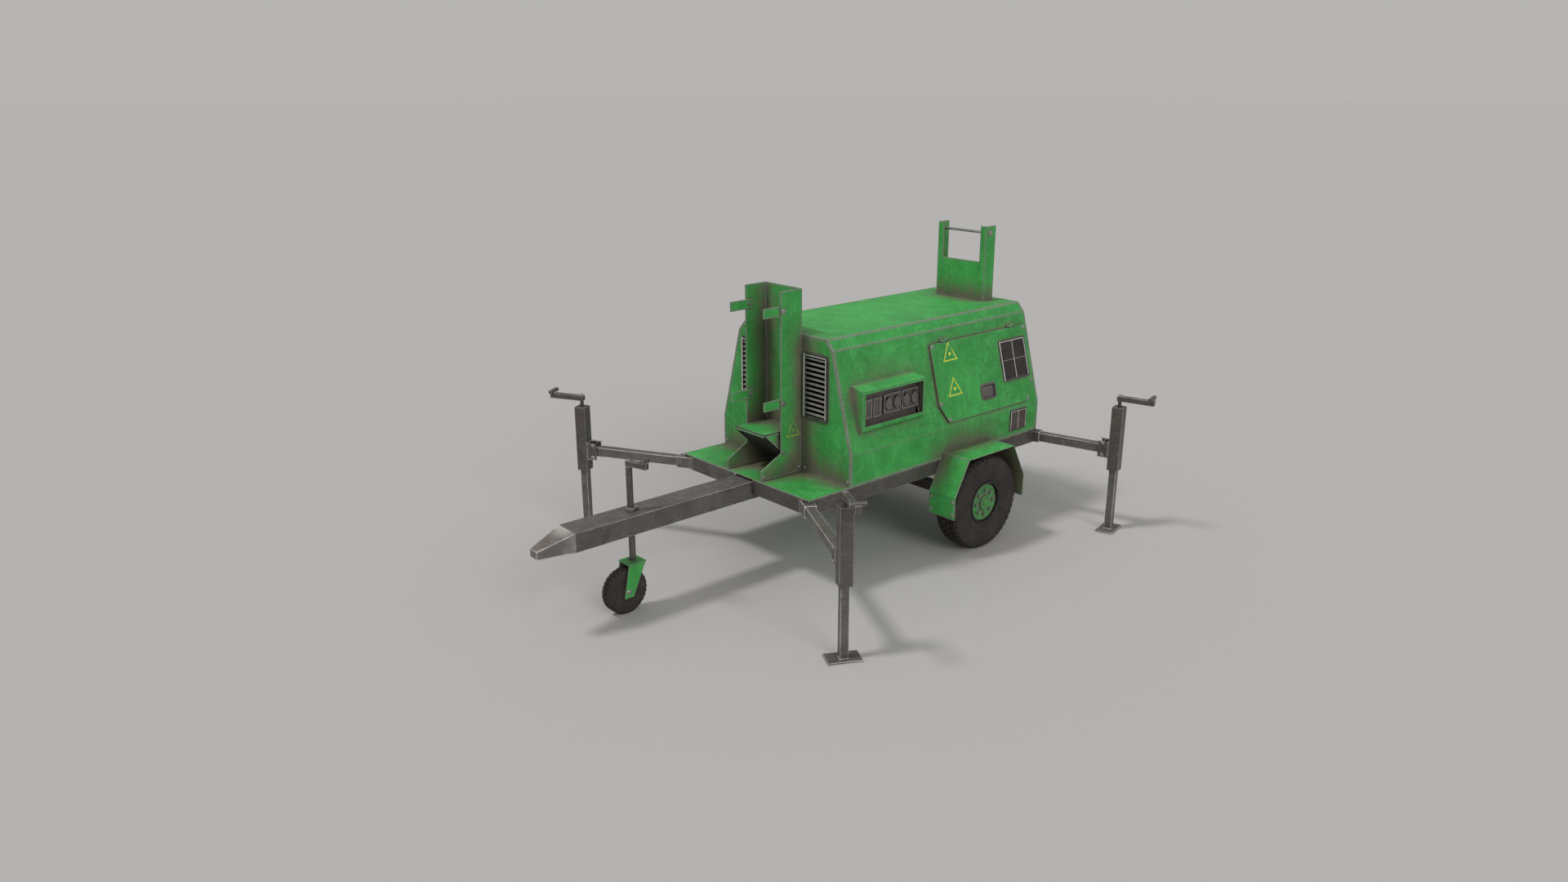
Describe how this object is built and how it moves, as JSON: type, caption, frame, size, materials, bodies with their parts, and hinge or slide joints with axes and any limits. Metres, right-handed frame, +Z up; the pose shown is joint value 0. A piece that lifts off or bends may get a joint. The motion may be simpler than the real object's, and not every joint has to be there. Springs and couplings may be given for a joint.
{
  "type": "towable diesel generator",
  "caption": "Two-wheel towable diesel generator with a sloped canopy, side socket panel, lift-up service door, mast supports and pull-out screw jacks.",
  "frame": {"origin": "on the ground, at the middle of the bounding box's footprint", "axes": "+Z up, -X towards the drawbar's nose, -Y towards the side with the socket panel and the service door"},
  "size_m": [3.587, 2.7096, 1.85],
  "materials": {
    "paint": "worn satin paint",
    "steel": "worn dull steel",
    "dark_steel": "dark weathered steel",
    "bright_steel": "bare scuffed steel",
    "rubber": "matte",
    "tyre": "matte dusty",
    "plastic": "matte",
    "lid": "matte",
    "casting": "cast"
  },
  "bodies": {
    "chassis": {"side_rails": "steel", "cross_members": "steel", "deck_plate": "paint", "drawbar": "steel", "coupling_socket": "bright_steel", "axle_beam": "dark_steel", "outrigger_sleeves": "steel", "canopy_shell": "paint", "grilles": "dark_steel", "mast_channel": "paint", "mast_tabs": "paint", "mast_foot_box": "paint", "mast_rest": "paint", "mast_rest_rod": "bright_steel", "body_bolts": "bright_steel", "panel_hood": "paint", "control_panel": "plastic", "fenders": "paint", "engine_block": "casting", "alternator": "dark_steel", "radiator": "dark_steel", "fuel_tank": "plastic", "battery": "rubber", "exhaust": "bright_steel", "air_filter": "plastic", "jockey_collar": "bright_steel", "door_hinges": "paint", "service_panel": "paint"},
    "fan": {"cooling_fan": "plastic"},
    "wheel_left": {"tyre_left": "tyre", "rim_left": "paint"},
    "wheel_right": {"tyre_right": "tyre", "rim_right": "paint"},
    "door": {"door_panel": "paint", "door_vent": "dark_steel"},
    "latch": {"door_latch": "plastic"},
    "jockey_post": {"jockey_stem": "steel"},
    "jockey_castor": {"jockey_fork": "paint"},
    "jockey_roller": {"jockey_wheel": "rubber"},
    "jockey_handle": {"jockey_crank": "steel"},
    "lid_1": {"socket_lid_1": "lid"},
    "lid_2": {"socket_lid_2": "lid"},
    "lid_3": {"socket_lid_3": "lid"},
    "lid_4": {"socket_lid_4": "lid"},
    "arm_front_left": {"arm_front_left": "steel", "jack_tube_front_left": "steel"},
    "leg_front_left": {"jack_leg_front_left": "bright_steel"},
    "crank_front_left": {"jack_crank_front_left": "steel"},
    "arm_front_right": {"arm_front_right": "steel", "jack_tube_front_right": "steel"},
    "leg_front_right": {"jack_leg_front_right": "bright_steel"},
    "crank_front_right": {"jack_crank_front_right": "steel"},
    "arm_rear_left": {"arm_rear_left": "steel", "jack_tube_rear_left": "steel"},
    "leg_rear_left": {"jack_leg_rear_left": "bright_steel"},
    "crank_rear_left": {"jack_crank_rear_left": "steel"},
    "arm_rear_right": {"arm_rear_right": "steel", "jack_tube_rear_right": "steel"},
    "leg_rear_right": {"jack_leg_rear_right": "bright_steel"},
    "crank_rear_right": {"jack_crank_rear_right": "steel"}
  },
  "joints": [
    {"name": "fan_spin", "type": "hinge", "parent": "chassis", "child": "fan", "pos_m": [1.24446, 0, 0.85], "axis": [1, 0, 0], "continuous": true},
    {"name": "wheel_spin_left", "type": "hinge", "parent": "chassis", "child": "wheel_left", "pos_m": [0.86546, -0.647, 0.29], "axis": [0, 1, 0], "continuous": true},
    {"name": "wheel_spin_right", "type": "hinge", "parent": "chassis", "child": "wheel_right", "pos_m": [0.86546, 0.647, 0.29], "axis": [0, 1, 0], "continuous": true},
    {"name": "door_hinge", "type": "hinge", "parent": "chassis", "child": "door", "pos_m": [1.08046, -0.42405, 1.25633], "axis": [-1, 0, 0], "range_deg": [0, 80]},
    {"name": "latch_pull", "type": "hinge", "parent": "door", "child": "latch", "pos_m": [1.08646, -0.51047, 0.93681], "axis": [-1, 0, 0], "range_deg": [0, 35], "stiffness_Nm_per_rad": 0.8, "springref_deg": -20.05},
    {"name": "jockey_lift", "type": "slide", "parent": "chassis", "child": "jockey_post", "axis": [0, 0, 1], "range_m": [-0.05, 0.14]},
    {"name": "jockey_swivel", "type": "hinge", "parent": "jockey_post", "child": "jockey_castor", "pos_m": [-1.20754, 0, 0.285], "axis": [0, 0, 1], "continuous": true},
    {"name": "jockey_roll", "type": "hinge", "parent": "jockey_castor", "child": "jockey_roller", "pos_m": [-1.26854, 0, 0.127], "axis": [0, 1, 0], "continuous": true},
    {"name": "jockey_crank_turn", "type": "hinge", "parent": "jockey_post", "child": "jockey_handle", "pos_m": [-1.20754, 0, 0.812], "axis": [0, 0, 1], "range_deg": [-2255, 6305]},
    {"name": "lid_hinge_1", "type": "hinge", "parent": "chassis", "child": "lid_1", "pos_m": [0.21046, -0.5125, 1.022], "axis": [-1, 0, 0], "range_deg": [0, 95], "stiffness_Nm_per_rad": 0.02, "springref_deg": -34.38},
    {"name": "lid_hinge_2", "type": "hinge", "parent": "chassis", "child": "lid_2", "pos_m": [0.27846, -0.5125, 1.022], "axis": [-1, 0, 0], "range_deg": [0, 95], "stiffness_Nm_per_rad": 0.02, "springref_deg": -34.38},
    {"name": "lid_hinge_3", "type": "hinge", "parent": "chassis", "child": "lid_3", "pos_m": [0.35746, -0.5125, 1.022], "axis": [-1, 0, 0], "range_deg": [0, 95], "stiffness_Nm_per_rad": 0.02, "springref_deg": -34.38},
    {"name": "lid_hinge_4", "type": "hinge", "parent": "chassis", "child": "lid_4", "pos_m": [0.42546, -0.5125, 1.022], "axis": [-1, 0, 0], "range_deg": [0, 95], "stiffness_Nm_per_rad": 0.02, "springref_deg": -34.38},
    {"name": "arm_slide_front_left", "type": "slide", "parent": "chassis", "child": "arm_front_left", "axis": [-0.4772, -0.8788, 0], "range_m": [-0.35, 0]},
    {"name": "leg_lift_front_left", "type": "slide", "parent": "arm_front_left", "child": "leg_front_left", "axis": [0, 0, 1], "range_m": [-0.03, 0.3]},
    {"name": "crank_turn_front_left", "type": "hinge", "parent": "arm_front_left", "child": "crank_front_left", "pos_m": [-0.76439, -1.15199, 0.845], "axis": [0, 0, 1], "range_deg": [-780, 7725]},
    {"name": "arm_slide_front_right", "type": "slide", "parent": "chassis", "child": "arm_front_right", "axis": [-0.4772, 0.8788, 0], "range_m": [-0.35, 0]},
    {"name": "leg_lift_front_right", "type": "slide", "parent": "arm_front_right", "child": "leg_front_right", "axis": [0, 0, 1], "range_m": [-0.03, 0.3]},
    {"name": "crank_turn_front_right", "type": "hinge", "parent": "arm_front_right", "child": "crank_front_right", "pos_m": [-0.76439, 1.15199, 0.845], "axis": [0, 0, 1], "range_deg": [-780, 7725]},
    {"name": "arm_slide_rear_left", "type": "slide", "parent": "chassis", "child": "arm_rear_left", "axis": [0.2334, -0.9724, 0], "range_m": [-0.25, 0]},
    {"name": "leg_lift_rear_left", "type": "slide", "parent": "arm_rear_left", "child": "leg_rear_left", "axis": [0, 0, 1], "range_m": [-0.03, 0.3]},
    {"name": "crank_turn_rear_left", "type": "hinge", "parent": "arm_rear_left", "child": "crank_rear_left", "pos_m": [1.69319, -1.06536, 0.845], "axis": [0, 0, 1], "range_deg": [-780, 7725]},
    {"name": "arm_slide_rear_right", "type": "slide", "parent": "chassis", "child": "arm_rear_right", "axis": [0.2334, 0.9724, 0], "range_m": [-0.25, 0]},
    {"name": "leg_lift_rear_right", "type": "slide", "parent": "arm_rear_right", "child": "leg_rear_right", "axis": [0, 0, 1], "range_m": [-0.03, 0.3]},
    {"name": "crank_turn_rear_right", "type": "hinge", "parent": "arm_rear_right", "child": "crank_rear_right", "pos_m": [1.69319, 1.06536, 0.845], "axis": [0, 0, 1], "range_deg": [-780, 7725]}
  ],
  "couplings": [
    {"joint": "jockey_crank_turn", "follows": "jockey_lift", "rad_per_m": 785.4},
    {"joint": "crank_turn_front_left", "follows": "leg_lift_front_left", "rad_per_m": 448.8},
    {"joint": "crank_turn_front_right", "follows": "leg_lift_front_right", "rad_per_m": 448.8},
    {"joint": "crank_turn_rear_left", "follows": "leg_lift_rear_left", "rad_per_m": 448.8},
    {"joint": "crank_turn_rear_right", "follows": "leg_lift_rear_right", "rad_per_m": 448.8}
  ]
}
